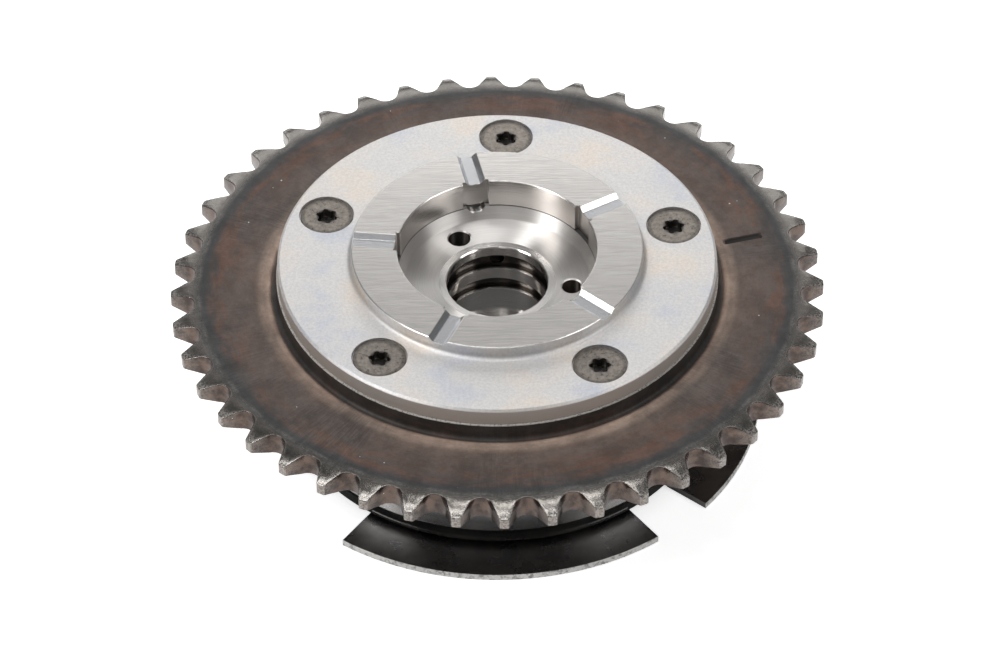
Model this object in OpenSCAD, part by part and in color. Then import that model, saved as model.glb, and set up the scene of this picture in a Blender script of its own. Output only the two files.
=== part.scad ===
// Vane-type cam phaser, lying on its timing side, in millimetres.
// +Z is the axis of rotation and points to the camshaft. The origin is on the axis,
// in the plane of the target wheel's underside, on which the part stands.

/* [Chain sprocket] */
// Number of sprocket teeth
tooth_count = 44; // [40:2:52]
// Chain pitch (3/8 inch bush chain)
chain_pitch = 9.525; // [9.3:0.005:9.8]
// Diameter of the chain's bushes
bush_d = 5.08; // [4.6:0.01:5.4]
// Clearance between a bush and its tooth gap
bush_gap = 0.05; // [0.02:0.01:0.15]
// Lean of the tooth flanks away from radial, in degrees
flank_lean = 26.5; // [20:0.5:28]
// Height of the tooth tips above the pitch circle
tooth_tip = 2.45; // [1.8:0.05:2.7]
// Thickness of the toothed web
web_t = 5.35; // [4.6:0.05:6.5]
// Radius of the rounded sides of the teeth
side_r = 9.5; // [8:0.1:12]
// Drop of each rounded side at the tooth tips
side_drop = 1.35; // [0.8:0.05:1.8]
// Angle of the first tooth from +X, in degrees
tooth_phase = 1; // [0:0.1:8]
// Height of the collar above the web
collar_h = 3.45; // [3:0.05:4.5]
// Step of the collar outside the housing radius
collar_step = 0.3; // [0.1:0.05:0.6]
// Radius of the fillet at the foot of the collar
collar_fillet = 0.8; // [0.4:0.1:1.2]
// Depth of the relief groove round the collar
relief_depth = 0.4; // [0.2:0.05:0.6]
// Width of the flat floor of the relief groove
relief_w = 0.2; // [0.1:0.05:0.7]
// Radius of the soft outer edge of the relief groove
relief_edge = 2.4; // [1.6:0.1:3]
// Angle of the timing mark from +X, in degrees
mark_angle = 14.7; // [0:0.1:30]
// Distance of the timing mark from the relief groove
mark_gap = 1.1; // [0.5:0.1:2]
// Length of the timing mark
mark_len = 8.4; // [4:0.1:9]
// Radius of the rounded section of the timing mark
mark_round = 0.85; // [0.8:0.05:1.5]
// Depth of the timing mark
mark_depth = 0.7; // [0.3:0.05:0.75]

/* [Housing] */
// Outer radius of stator, front plate and cover
housing_r = 46.4; // [45.5:0.1:48]
// Width of the stator's shoulder below the sprocket
shoulder_w = 3.4; // [3:0.1:4]
// Wall of the stator between the oil chambers and the sprocket
spigot_wall = 3; // [2.2:0.1:3.6]
// Height of the stator below the sprocket
stator_body_h = 11.6; // [9:0.1:15]
// Angle that each stator lobe covers, in degrees
lobe_angle = 18; // [17:0.5:19]
// Height of the front plate
plate_h = 11; // [10:0.1:13]
// Depth of the return-spring pocket in the front plate
pocket_depth = 7; // [6:0.1:7.5]
// Wall between the return-spring pocket and the screws
pocket_wall = 1.3; // [0.8:0.1:1.5]
// Bevel on the housing's outer edges
housing_bevel = 0.5; // [0.2:0.05:0.8]
// Clearance of located parts in their seats
seat_gap = 0.02; // [0.01:0.01:0.05]

/* [Cam-side cover] */
// Thickness of the cover's rim
cover_t = 3.9; // [3.5:0.05:5]
// Height of the boss above the rim
boss_h = 2.9; // [2:0.05:4]
// Outer radius of the boss
boss_r = 30.8; // [29:0.1:31.5]
// Radius of the fillet at the foot of the boss
boss_fillet = 1.2; // [0.5:0.1:1.8]
// Radius of the pilot bore for the camshaft nose
pilot_r = 21; // [20.5:0.05:22]
// Break on the cover's turned edges
edge_break = 0.2; // [0.1:0.05:0.4]
// Angle from a screw to the next oil groove, in degrees
groove_offset = 15.3; // [10:0.1:25]
// Width of each oil groove at its floor
groove_floor = 2.3; // [1.5:0.1:3]
// Depth of each oil groove, which has 45 degree sides
groove_depth = 1.05; // [0.5:0.05:1.5]
// Width of the notch that each groove makes in the bore
notch_w = 5.65; // [4:0.05:6]
// Depth of that notch
notch_depth = 0.7; // [0.3:0.05:1.2]

/* [Screws] */
// Distance of the screws inside the radius of the oil chambers
screw_inset = 1.2; // [0.7:0.05:1.7]
// Angle of the first screw from +X, in degrees
screw_phase = 15; // [0:0.1:30]
// Thread radius
screw_r = 3; // [2.5:0.05:3.1]
// Radius of the flat head
head_r = 5.55; // [5:0.05:5.7]
// Height of the straight rim of the head
head_rim = 0.35; // [0.2:0.05:0.5]
// Depth of the head below the cover's face
head_sunk = 0.4; // [0.1:0.05:0.6]
// Room round the head's rim in the countersink
head_room = 0.25; // [0.1:0.05:0.4]
// Room round the shank in the cover and stator
shank_room = 0.2; // [0.1:0.05:0.3]
// Length of thread in the front plate
thread_len = 7.5; // [6:0.1:8.5]
// Radius to the outside of the six-lobe recess
lobe_recess_r = 2.32; // [2:0.02:2.6]
// Radius of each lobe of the recess
lobe_tip_r = 0.6; // [0.45:0.01:0.65]
// Depth of the recess
recess_drive_depth = 2; // [1.4:0.1:2.2]

/* [Rotor] */
// Radial height of the oil chambers, which the vanes fill
chamber_h = 13; // [12:0.1:14]
// Angle that each plain vane covers, in degrees
vane_angle = 14; // [13.5:0.5:15]
// Angle from the wide vane's middle line to its parked side, in degrees
wide_lead = 7.7; // [7.6:0.1:8]
// Travel of the rotor in the housing, in degrees
travel = 26; // [22:0.5:27]
// Angle left at each stop, in degrees
stop_gap = 0.3; // [0.2:0.05:0.5]
// Number of the wide vane, which carries the lock pin
wide_vane = 4; // [1:1:5]
// Clearance of the rotor to cover and front plate
end_gap = 0.04; // [0.02:0.01:0.08]
// Clearance of vane tips and lobes
sweep_gap = 0.1; // [0.05:0.01:0.15]
// Running clearance of the journal and the lock pin
running_gap = 0.05; // [0.02:0.01:0.09]
// Radius of the journal in the front plate
journal_r = 20; // [19.5:0.1:20.3]
// Radius of the nose that carries the target wheel
nose_r = 15; // [14.5:0.1:16.5]
// Height of the nose's end above the target wheel's underside
nose_lift = 1; // [0.6:0.1:1.6]
// Depth of the recess for the camshaft nose
recess_depth = 2.76; // [2.3:0.02:4]
// Radial run of the recess's sloping wall
recess_taper = 1.3; // [0.8:0.1:1.5]
// Radius of the fillet round the recess floor
recess_fillet = 0.4; // [0.2:0.1:0.7]
// Clearance by which the recess is tighter than the pilot bore
recess_fit = 0.03; // [0.01:0.01:0.04]
// Radius of the valve bore
valve_r = 10.7; // [10.3:0.05:11.2]
// Depth of the oil grooves in the valve bore
valve_groove_d = 1.2; // [0.8:0.05:1.6]
// Distance of each valve groove below the recess floor
valve_groove_at = [2.3, 8.85, 17]; // [2:0.05:18]
// Width of each valve groove
valve_groove_w = [3.7, 2.95, 3]; // [2.5:0.05:4]
// Radius of the seat for the valve's head
valve_head_r = 12.5; // [12:0.1:13.4]
// Depth of that seat
valve_head_depth = 4; // [2:0.1:6]
// Break on the edges of bores and holes
bore_break = 0.25; // [0.1:0.05:0.4]
// Distance of the two floor holes from the axis
floor_hole_r = 15.85; // [15.2:0.05:16.2]
// Radius of the dowel hole
dowel_hole_r = 2.1; // [1.8:0.05:2.3]
// Angle of the dowel hole, in degrees
dowel_hole_angle = -5.5; // [-8:0.1:-3]
// Radius of the oil feed hole
feed_hole_r = 2.35; // [2:0.05:2.6]
// Angle of the oil feed hole, in degrees
feed_hole_angle = 120.5; // [118:0.1:124]
// Depth of the floor holes
floor_hole_depth = 9; // [5:0.1:10]
// Radius of the smaller end of the oil feed hole
feed_end_r = 1.25; // [0.8:0.05:1.6]
// Distance of that smaller end along the hole's circle
feed_end_shift = 1.2; // [0.8:0.05:2]
// Radius of the drilled oil holes
oil_hole_r = 1.5; // [1.2:0.05:1.6]
// Angle from a vane's middle line to its upper oil hole in the bore, in degrees
oil_lead = 14.5; // [12:0.5:18]
// Angle from a vane's middle line to its lower oil hole in the bore, in degrees
oil_trail = 15; // [12:0.5:18]
// Depth of the scallop in the rotor's rim
scallop_depth = 1.2; // [0.6:0.05:1.4]
// Width of that scallop
scallop_w = 4; // [2.5:0.1:4.5]
// Radial length of that scallop
scallop_len = 1.5; // [0.8:0.1:3]

/* [Seals] */
// Width of a seal bar
seal_w = 2.4; // [2:0.05:2.6]
// Height of a seal bar
seal_h = 2.65; // [2.2:0.05:2.8]
// Depth of a seal slot
seal_slot_d = 4; // [3.7:0.05:4.1]
// Clearance of a seal bar to its slot's sides
seal_side_gap = 0.05; // [0.02:0.01:0.1]
// Clearance of a seal bar to the wall that it wipes
wipe_gap = 0.03; // [0.02:0.01:0.05]
// Thickness of a leaf spring
leaf_t = 0.25; // [0.15:0.01:0.35]
// Width of a leaf spring
leaf_w = 2; // [1.5:0.05:2.2]
// Length of a leaf spring
leaf_len = 17; // [14:0.1:18]
// Gap of a leaf spring to bar and slot
leaf_gap = 0.04; // [0.02:0.01:0.08]

/* [Lock pin] */
// Distance of the lock pin outside the rotor hub
lock_rise = 6; // [5.6:0.1:6.4]
// Angle of the lock pin from the wide vane's middle line, in degrees
lock_offset = 9; // [8.5:0.1:10]
// Radius of the lock pin's bore
lock_bore_r = 4; // [3.6:0.05:4.1]
// Length of the lock pin
lock_len = 12; // [9:0.1:13]
// Wall of the hollow lock pin
lock_wall = 1.35; // [1.2:0.05:1.5]
// Thickness of the lock pin's end
lock_end = 4; // [3:0.1:5]
// Height of the plug that closes the bore
plug_h = 2.2; // [1.5:0.1:3]
// Radius of the vent in that plug
plug_vent_r = 0.8; // [0.5:0.05:1.2]
// Wire radius of the lock pin spring
lock_wire_r = 0.35; // [0.25:0.01:0.4]
// Turns of the lock pin spring
lock_turns = 7; // [5:1:8]
// Clearance of that spring in the pin
lock_spring_gap = 0.2; // [0.1:0.05:0.3]
// Height of the lock seat bush
bush_seat_h = 3; // [2:0.1:3.2]
// Wall of the lock seat bush
bush_seat_wall = 1.85; // [1.2:0.05:1.9]
// Clearance of the lock pin in its seat
lock_seat_gap = 0.2; // [0.1:0.05:0.3]

/* [Return spring] */
// Thickness of the spiral strip
strip_t = 1.2; // [0.8:0.05:1.4]
// Width of the strip along the axis
strip_w = 5.8; // [4:0.1:5.9]
// Turns of the spiral
spiral_turns = 2.5; // [1.5:1:2.5]
// Gap between the journal and the first turn
spiral_gap = 0.6; // [0.4:0.05:0.8]
// Angle of the spiral's inner end, in degrees
spiral_phase = 0; // [0:1:20]
// Length of the tab at the inner end
tab_len = 2; // [1:0.1:2.5]
// Room round the tab in its slot
tab_room = 0.05; // [0.02:0.01:0.1]
// Radius of the anchor pin
anchor_r = 1.5; // [1.2:0.05:1.6]
// Gap between the strip's eye and the wall of the pocket
eye_gap = 0.3; // [0.2:0.05:0.6]
// Room between the anchor pin and the strip's eye
anchor_room = 0.1; // [0.05:0.01:0.15]
// Thickness of the front plate left above the anchor pin
anchor_cover = 1; // [0.5:0.1:2]

/* [Dowels] */
// Radius of the dowel between sprocket and stator
sprocket_dowel_r = 1; // [0.8:0.05:1.2]
// Depth of that dowel in the stator
sprocket_dowel_depth = 4.5; // [3:0.1:6]
// Radius of the dowel between stator and front plate
plate_dowel_r = 1.25; // [1:0.05:1.4]
// Depth of that dowel on each side
plate_dowel_depth = 4; // [3:0.1:6]
// Angle of both dowels from a screw, in degrees
dowel_offset = 36; // [25:1:45]

/* [Target wheel] */
// Thickness of the target wheel's sheet
sheet_t = 1.5; // [1.2:0.05:1.8]
// Step from the lobes up to the crown
joggle_h = 2.2; // [2:0.05:2.4]
// Middle radius of the two bends
bend_r = 1.75; // [1.5:0.05:2]
// Radial length of the flat of the lobes
target_lobe_len = 9.8; // [8:0.1:13]
// Distance of the edge in the gaps between lobes inside the housing radius
target_inset = 0.9; // [0.4:0.1:1.9]
// Distance at which the flat of the lobes starts outside the housing radius
flat_outset = 0.2; // [0:0.1:1.2]
// Gap between the crown and the front plate
crown_gap = 0.3; // [0.2:0.05:0.5]
// Angle at which each lobe starts, in degrees
target_from = [-125.4, -39.2, 52, 145]; // [-180:0.1:180]
// Angle that each lobe covers, in degrees
target_span = [71.8, 70.5, 25, 25]; // [20:0.1:75]

/* [Hidden] */
$fn = 96;
cut = 1;
vane_count = 5;
sector = 360 / vane_count;

plate_z = sheet_t + joggle_h + crown_gap;
crown_z = sheet_t + joggle_h;
stator_z = plate_z + plate_h;
pocket_z = plate_z + pocket_depth;
web_z = stator_z + stator_body_h;
web_top_z = web_z + web_t;
cover_z = web_top_z + collar_h;
face_z = cover_z + cover_t;
boss_z = face_z + boss_h;
rotor_z0 = stator_z + end_gap;
rotor_z1 = cover_z - end_gap;
rotor_h = rotor_z1 - rotor_z0;
floor_z = rotor_z1 - recess_depth;
head_z = face_z - head_sunk;
mid_z = (rotor_z0 + rotor_z1) / 2;

pitch_r = chain_pitch / (2 * sin(180 / tooth_count));
tip_r = pitch_r + tooth_tip;
tooth_seat_r = bush_d / 2 + bush_gap;
side_turn = acos(1 - side_drop / side_r);
collar_r = housing_r + collar_step;
relief_rise = acos(1 - relief_depth / relief_edge);
relief_r = collar_r + collar_fillet + relief_w + relief_edge * sin(relief_rise);
spigot_r = housing_r - shoulder_w;
chamber_r = spigot_r - spigot_wall;
hub_r = chamber_r - chamber_h;
screw_circle_r = chamber_r - screw_inset;
pocket_r = screw_circle_r - screw_r - pocket_wall;
vane_r = chamber_r - sweep_gap;
lobe_r = hub_r + sweep_gap;
recess_r = pilot_r - recess_fit;
recess_slope = atan(recess_taper / recess_depth);
valve_groove_r = valve_r + valve_groove_d;

// The parked wide vane stands one stop gap from its lobe, and the travel fixes its far side.
vane_offset = lobe_angle / 2 + stop_gap + wide_lead;
wide_trail = sector - lobe_angle - 2 * stop_gap - travel - wide_lead;
lock_r = hub_r + lock_rise;
lock_angle = vane_mid(wide_vane) + lock_offset;
lock_pin_r = lock_bore_r - running_gap;
lock_pin_z = rotor_z0 + end_gap;
lock_cup_z = lock_pin_z + lock_end;
plug_z = rotor_z1 - plug_h;
bush_hole_r = lock_pin_r + lock_seat_gap;
bush_r = bush_hole_r + bush_seat_wall;

spiral_r0 = journal_r + spiral_gap + strip_t / 2;
spiral_end = spiral_phase + 360 * spiral_turns;
eye_in = anchor_r + anchor_room;
anchor_circle_r = pocket_r - eye_gap - strip_t - eye_in;
anchor_z = stator_z - anchor_cover;
strip_z = plate_z + (pocket_depth - strip_w) / 2;
dowel_r_mid = (spigot_r + housing_r) / 2;

target_gap_r = housing_r - target_inset;
lobe_flat_r = housing_r + flat_outset;
target_r = lobe_flat_r + target_lobe_len;

function vane_mid(i) = screw_phase + vane_offset + (i - 1) * sector;
function lobe_mid(i) = screw_phase + (i - 1) * sector;
function vane_from(i) = vane_mid(i) - (i == wide_vane ? wide_lead : vane_angle / 2);
function vane_to(i) = vane_mid(i) + (i == wide_vane ? wide_trail : vane_angle / 2);
function polar(r, a) = [r * cos(a), r * sin(a)];
function arc(c, r, a0, a1, n = 6) = [for (k = [0:n]) c + polar(r, a0 + (a1 - a0) * k / n)];

// Flat wedge from the axis, between two angles, that reaches past the radius
module wedge(r, a0, a1) {
    reach = r / cos((a1 - a0) / 4) + cut;
    polygon(concat([[0, 0]], arc([0, 0], reach, a0, a1, 2)));
}

// Places its children at a distance and an angle round the axis
module around(r, a, z = 0) {
    rotate(a) translate([r, 0, z]) children();
}

// Repeats its children at every screw
module at_screws(z) {
    for (i = [1:vane_count]) around(screw_circle_r, lobe_mid(i), z) children();
}

// One gap between two teeth: a round seat for a bush that opens along leaning flanks
module tooth_gap() {
    reach = 2 * tooth_tip;
    touch = tooth_seat_r * polar(1, flank_lean);
    mouth = touch[0] + (reach + touch[1]) * tan(flank_lean);
    translate([pitch_r, 0]) {
        circle(tooth_seat_r);
        polygon([[-touch[1], -touch[0]], [reach, -mouth], [reach, mouth], [-touch[1], touch[0]]]);
    }
}

// Section of the sprocket: bore, collar with its relief groove, web and rounded tooth sides
module sprocket_section() {
    bore = spigot_r + seat_gap;
    groove_z = web_top_z - relief_depth;
    fillet_c = [collar_r + collar_fillet, groove_z + collar_fillet];
    side_x = tip_r - side_r * sin(side_turn);
    polygon(concat(
        [[bore, web_z]],
        arc([side_x, web_z + side_r], side_r, 270, 270 + side_turn),
        arc([side_x, web_top_z - side_r], side_r, 90 - side_turn, 90),
        arc([relief_r, web_top_z - relief_edge], relief_edge, 90, 90 + relief_rise),
        arc(fillet_c, collar_fillet, 270, 180),
        [[collar_r, cover_z - edge_break], [collar_r - edge_break, cover_z], [bore, cover_z]]
    ));
}

module sprocket() {
    color("#453a35")
    difference() {
        rotate_extrude() sprocket_section();
        for (k = [0:tooth_count - 1])
            rotate(tooth_phase + (k + 0.5) * 360 / tooth_count)
                translate([0, 0, web_z - cut]) linear_extrude(web_t + 2 * cut) tooth_gap();
        around(relief_r + mark_gap, mark_angle, web_top_z + mark_round - mark_depth)
            rotate([0, 90, 0]) cylinder(r = mark_round, h = mark_len);
        around(dowel_r_mid, lobe_mid(1) + dowel_offset, web_z - cut)
            cylinder(r = sprocket_dowel_r + seat_gap, h = web_t + collar_h + 2 * cut);
    }
}

// Section of the cover: rim with bevelled edge, boss on a concave fillet, pilot bore
module cover_section() {
    fillet_c = [boss_r + boss_fillet, face_z + boss_fillet];
    polygon(concat(
        [[pilot_r, cover_z], [housing_r - edge_break, cover_z], [housing_r, cover_z + edge_break]],
        [[housing_r, face_z - housing_bevel], [housing_r - housing_bevel, face_z]],
        arc(fillet_c, boss_fillet, 270, 180),
        [[boss_r, boss_z - edge_break], [boss_r - edge_break, boss_z]],
        [[pilot_r + edge_break, boss_z], [pilot_r, boss_z - edge_break]]
    ));
}

// Trapezoid section of an oil groove, open at the top
module groove_section() {
    half = groove_floor / 2;
    top = half + groove_depth + cut;
    polygon([[-half, -groove_depth], [half, -groove_depth], [top, cut], [-top, cut]]);
}

// Room for one screw: rim, cone and shank, from the head's top plane down
module countersink() {
    rim_r = head_r + head_room;
    cone_h = head_r - screw_r;
    translate([0, 0, -head_rim]) cylinder(r = rim_r, h = head_rim + head_sunk + cut);
    translate([0, 0, -head_rim - cone_h])
        cylinder(r1 = screw_r + seat_gap, r2 = head_r + seat_gap, h = cone_h);
    translate([0, 0, -cover_t - cut]) cylinder(r = screw_r + shank_room, h = cover_t);
}

module cam_side_cover() {
    notch = [pilot_r + notch_depth, notch_w, cover_t + boss_h + 2 * cut];
    color("#c9cacc")
    difference() {
        rotate_extrude() cover_section();
        for (i = [1:vane_count]) rotate(lobe_mid(i) + groove_offset) {
            translate([0, 0, boss_z]) rotate([90, 0, 90])
                linear_extrude(boss_r + boss_fillet) groove_section();
            translate([0, -notch_w / 2, cover_z - cut]) cube(notch);
        }
        at_screws(head_z) countersink();
    }
}

module stator() {
    body_r = spigot_r - seat_gap;
    color("#b9bbbe")
    difference() {
        union() {
            translate([0, 0, stator_z]) cylinder(r = body_r, h = cover_z - stator_z);
            translate([0, 0, stator_z]) cylinder(r = housing_r, h = stator_body_h);
        }
        difference() {
            translate([0, 0, stator_z - cut]) cylinder(r = chamber_r, h = cover_z - stator_z + 2 * cut);
            for (i = [1:vane_count])
                translate([0, 0, stator_z - 2 * cut]) linear_extrude(cover_z - stator_z + 4 * cut)
                    wedge(chamber_r, lobe_mid(i) - lobe_angle / 2, lobe_mid(i) + lobe_angle / 2);
        }
        translate([0, 0, stator_z - cut]) cylinder(r = lobe_r, h = cover_z - stator_z + 2 * cut);
        at_screws(stator_z - cut) cylinder(r = screw_r + shank_room, h = cover_z - stator_z + 2 * cut);
        for (i = [1:vane_count])
            around(lobe_r - cut, lobe_mid(i), stator_z - cut) seal_slot(cover_z - stator_z + 2 * cut);
        around(dowel_r_mid, lobe_mid(1) + dowel_offset, web_z - sprocket_dowel_depth)
            cylinder(r = sprocket_dowel_r + seat_gap, h = sprocket_dowel_depth + cut);
        around(dowel_r_mid, lobe_mid(3) + dowel_offset, stator_z - cut)
            cylinder(r = plate_dowel_r + seat_gap, h = plate_dowel_depth + seat_gap + cut);
    }
}

module front_plate() {
    color("#b2b4b7")
    difference() {
        rotate_extrude() polygon([
            [journal_r + running_gap, pocket_z], [pocket_r, pocket_z], [pocket_r, plate_z],
            [housing_r - housing_bevel, plate_z], [housing_r, plate_z + housing_bevel],
            [housing_r, stator_z], [journal_r + running_gap, stator_z]
        ]);
        at_screws(stator_z - thread_len - screw_r / 2)
            cylinder(r = screw_r + seat_gap, h = thread_len + screw_r / 2 + cut);
        around(lock_r, lock_angle, stator_z - bush_seat_h)
            cylinder(r = bush_r + seat_gap, h = bush_seat_h + cut);
        around(anchor_circle_r, spiral_end, pocket_z - cut)
            cylinder(r = anchor_r + seat_gap, h = anchor_z - pocket_z + cut);
        around(dowel_r_mid, lobe_mid(3) + dowel_offset, stator_z - plate_dowel_depth - seat_gap)
            cylinder(r = plate_dowel_r + seat_gap, h = plate_dowel_depth + seat_gap + cut);
    }
}

// Six-lobe drive recess, as a flat shape
module six_lobe() {
    lobe_c = lobe_recess_r - lobe_tip_r;
    circle(lobe_c);
    for (k = [0:5]) rotate(60 * k) translate([lobe_c, 0]) circle(lobe_tip_r);
}

module cover_screw() {
    shank = head_z - head_rim - (head_r - screw_r) - (stator_z - thread_len);
    tip = screw_r / 4;
    difference() {
        rotate_extrude() polygon([
            [0, 0], [head_r, 0], [head_r, -head_rim], [screw_r, -head_rim - head_r + screw_r],
            [screw_r, -head_rim - head_r + screw_r - shank + tip],
            [screw_r - tip, -head_rim - head_r + screw_r - shank],
            [0, -head_rim - head_r + screw_r - shank]
        ]);
        translate([0, 0, -recess_drive_depth]) linear_extrude(recess_drive_depth + cut) six_lobe();
    }
}

module cover_screws() {
    color("#55524e") at_screws(head_z) cover_screw();
}

module sprocket_dowel() {
    color("#8d8f92")
    around(dowel_r_mid, lobe_mid(1) + dowel_offset, web_z - sprocket_dowel_depth)
        cylinder(r = sprocket_dowel_r, h = sprocket_dowel_depth + web_t + collar_h);
}

module plate_dowel() {
    color("#8d8f92")
    around(dowel_r_mid, lobe_mid(3) + dowel_offset, stator_z - plate_dowel_depth)
        cylinder(r = plate_dowel_r, h = 2 * plate_dowel_depth);
}

module lock_seat_bush() {
    color("#77797c")
    around(lock_r, lock_angle, stator_z - bush_seat_h)
    difference() {
        cylinder(r = bush_r, h = bush_seat_h);
        translate([0, 0, -cut]) cylinder(r = bush_hole_r, h = bush_seat_h + 2 * cut);
    }
}

module spring_anchor_pin() {
    color("#8d8f92")
    around(anchor_circle_r, spiral_end, strip_z)
        cylinder(r = anchor_r, h = anchor_z - strip_z);
}

// Slot for a seal bar, starting one cut short of the surface that it opens in
module seal_slot(h) {
    translate([0, -seal_w / 2 - seal_side_gap, 0]) cube([seal_slot_d + cut, seal_w + 2 * seal_side_gap, h]);
}

// Bowed leaf spring that fills the room behind a seal bar, along Z, crown towards +X at x = 0
module leaf() {
    bow = seal_slot_d - seal_h - leaf_t - 2 * leaf_gap;
    bow_r = pow(leaf_len, 2) / (8 * bow) + bow / 2;
    half = asin(leaf_len / (2 * bow_r));
    translate([-bow_r, 0, 0]) rotate([90, 0, 0]) rotate(-half)
        rotate_extrude(angle = 2 * half)
            translate([bow_r - leaf_t, -leaf_w / 2]) square([leaf_t, leaf_w]);
}

module lobe_seal(i) {
    inner_r = hub_r + wipe_gap;
    color("#4a4744")
    difference() {
        around(0, lobe_mid(i), rotor_z0) translate([hub_r / 2, -seal_w / 2, 0])
            cube([lobe_r + seal_h - hub_r / 2, seal_w, rotor_h]);
        translate([0, 0, rotor_z0 - cut]) cylinder(r = inner_r, h = rotor_h + 2 * cut);
    }
}

module lobe_seal_spring(i) {
    color("#9a9c9e")
    around(lobe_r + seal_h + leaf_gap, lobe_mid(i), mid_z) rotate(180) leaf();
}

module vane_seal(i) {
    back_r = vane_r - seal_h;
    color("#4a4744")
    intersection() {
        around(back_r, vane_mid(i), rotor_z0) translate([0, -seal_w / 2, 0])
            cube([2 * seal_h, seal_w, rotor_h]);
        translate([0, 0, rotor_z0 - cut]) cylinder(r = chamber_r - wipe_gap, h = rotor_h + 2 * cut);
    }
}

module vane_seal_spring(i) {
    color("#9a9c9e")
    around(vane_r - seal_h - leaf_gap, vane_mid(i), mid_z) leaf();
}

module vane(i) {
    translate([0, 0, rotor_z0])
    intersection() {
        cylinder(r = vane_r, h = rotor_h);
        linear_extrude(rotor_h) wedge(vane_r, vane_from(i), vane_to(i));
    }
}

// Turned inside of the rotor: recess with a sloping wall, grooved valve bore, seat for the valve's head
module rotor_bore_section() {
    floor_r = recess_r - recess_taper - recess_fillet * tan((90 - recess_slope) / 2);
    fillet_c = [floor_r, floor_z + recess_fillet];
    seat_z = nose_lift + valve_head_depth;
    polygon(concat(
        [[0, nose_lift - cut], [valve_head_r, nose_lift - cut], [valve_head_r, seat_z], [valve_r, seat_z]],
        [[valve_r, floor_z - bore_break], [valve_r + bore_break, floor_z]],
        arc(fillet_c, recess_fillet, 270, 360 - recess_slope),
        [[recess_r, rotor_z1], [recess_r, rotor_z1 + cut], [0, rotor_z1 + cut]]
    ));
    for (k = [0:len(valve_groove_at) - 1])
        translate([0, floor_z - valve_groove_at[k] - valve_groove_w[k]])
            square([valve_groove_r, valve_groove_w[k]]);
}

// Drilled oil hole from the valve bore, at angle a0, to the hub's outside, at angle a1
module oil_hole(a0, a1, z) {
    from = polar(valve_groove_r - cut, a0);
    to = polar(hub_r + cut, a1);
    run = to - from;
    translate([from[0], from[1], z]) rotate(atan2(run[1], run[0]))
        rotate([0, 90, 0]) cylinder(r = oil_hole_r, h = norm(run));
}

// Hole in the recess floor with a broken edge
module floor_hole(r) {
    translate([0, 0, -floor_hole_depth]) cylinder(r = r, h = floor_hole_depth + cut);
    translate([0, 0, -bore_break]) cylinder(r1 = r, r2 = r + bore_break + cut, h = bore_break + cut);
}

// Arc-shaped scallop in the rim of the recess, below one oil groove of the cover
module rim_scallop() {
    round_r = pow(scallop_w, 2) / (8 * scallop_depth) + scallop_depth / 2;
    around(recess_r - cut, lobe_mid(2) + groove_offset, rotor_z1 - scallop_depth + round_r)
        rotate([0, 90, 0]) cylinder(r = round_r, h = scallop_len + cut);
}

module rotor() {
    side = asin(oil_hole_r / hub_r);
    feed_end_turn = 2 * asin(feed_end_shift / (2 * floor_hole_r));
    upper_z = floor_z - valve_groove_at[0] - valve_groove_w[0] / 2;
    lower_z = floor_z - (valve_groove_at[1] + valve_groove_w[1] + valve_groove_at[2]) / 2;
    color("#a9a8a6")
    difference() {
        union() {
            rotate_extrude() polygon([
                [0, nose_lift], [nose_r, nose_lift], [nose_r, crown_z], [journal_r, crown_z],
                [journal_r, rotor_z0], [hub_r, rotor_z0], [hub_r, rotor_z1], [0, rotor_z1]
            ]);
            for (i = [1:vane_count]) vane(i);
        }
        rotate_extrude() rotor_bore_section();
        around(floor_hole_r, dowel_hole_angle, floor_z) floor_hole(dowel_hole_r);
        around(floor_hole_r, feed_hole_angle, floor_z) floor_hole(feed_hole_r);
        around(floor_hole_r, feed_hole_angle - feed_end_turn, floor_z) floor_hole(feed_end_r);
        for (i = [1:vane_count]) {
            oil_hole(vane_mid(i) - oil_lead, vane_from(i) - side - stop_gap, upper_z);
            oil_hole(vane_mid(i) + oil_trail, vane_to(i) + side + stop_gap, lower_z);
            rotate(vane_mid(i)) translate([vane_r + cut, 0, rotor_z0 - cut])
                rotate(180) seal_slot(rotor_h + 2 * cut);
        }
        around(lock_r, lock_angle, rotor_z0 - cut) cylinder(r = lock_bore_r, h = rotor_h + 2 * cut);
        around(journal_r - tab_len - tab_room, spiral_phase, crown_z - cut)
            translate([0, -strip_t / 2 - tab_room, 0])
                cube([tab_len + cut, strip_t + 2 * tab_room, pocket_z - crown_z + cut]);
        rim_scallop();
    }
}

// Spiral strip with a tab in the rotor's slot and an eye round the anchor pin
module return_spring() {
    steps = 36 * spiral_turns;
    turn = 360 * spiral_turns / steps;
    growth = (anchor_circle_r - spiral_r0) / steps;
    function edge(k, side) = polar(spiral_r0 + growth * k + side * strip_t / 2, spiral_phase + turn * k);
    color("#7d7f83")
    translate([0, 0, strip_z]) linear_extrude(strip_w) {
        difference() {
            union() {
                polygon(concat([for (k = [0:steps]) edge(k, 1)], [for (k = [steps:-1:0]) edge(k, -1)]));
                rotate(spiral_end) translate([anchor_circle_r, 0]) circle(eye_in + strip_t);
            }
            rotate(spiral_end) translate([anchor_circle_r, 0]) circle(eye_in);
        }
        rotate(spiral_phase) translate([journal_r - tab_len, -strip_t / 2])
            square([spiral_r0 + strip_t / 2 - journal_r + tab_len, strip_t]);
    }
}

module lock_pin() {
    nose = lock_pin_r / 8;
    color("#8a8c8e")
    around(lock_r, lock_angle, lock_pin_z) rotate_extrude() polygon([
        [0, 0], [lock_pin_r - nose, 0], [lock_pin_r, nose], [lock_pin_r, lock_len],
        [lock_pin_r - lock_wall, lock_len], [lock_pin_r - lock_wall, lock_end], [0, lock_end]
    ]);
}

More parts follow.
